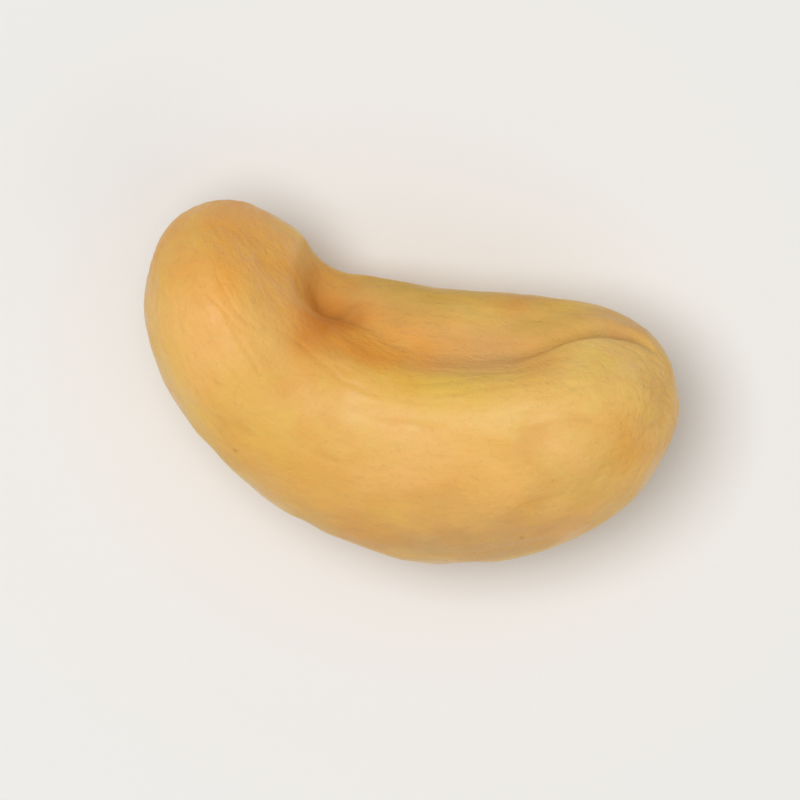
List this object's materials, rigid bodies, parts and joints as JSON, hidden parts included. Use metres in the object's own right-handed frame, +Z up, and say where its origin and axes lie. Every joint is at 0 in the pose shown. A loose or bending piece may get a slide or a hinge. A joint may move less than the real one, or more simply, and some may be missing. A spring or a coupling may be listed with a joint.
{
  "type": "roasted cashew nut",
  "caption": "Whole roasted cashew kernel, curved like a kidney, with a groove between its two seed leaves along the hollow edge. It lies on a small flat spot.",
  "frame": {"origin": "on the surface the kernel lies on, under the middle of its box", "axes": "+Z up from the surface, +X along the kernel from its hooked end to its blunt end, +Y towards its hollow, grooved edge"},
  "size_m": [0.0244, 0.0138, 0.0129],
  "materials": {
    "roasted_kernel": "dry-roasted kernel flesh: golden tan, satin with a trace of oil, deeper orange in the groove and the hollow, browned along the rims"
  },
  "bodies": {
    "root": {"kernel": "roasted_kernel"}
  },
  "joints": []
}
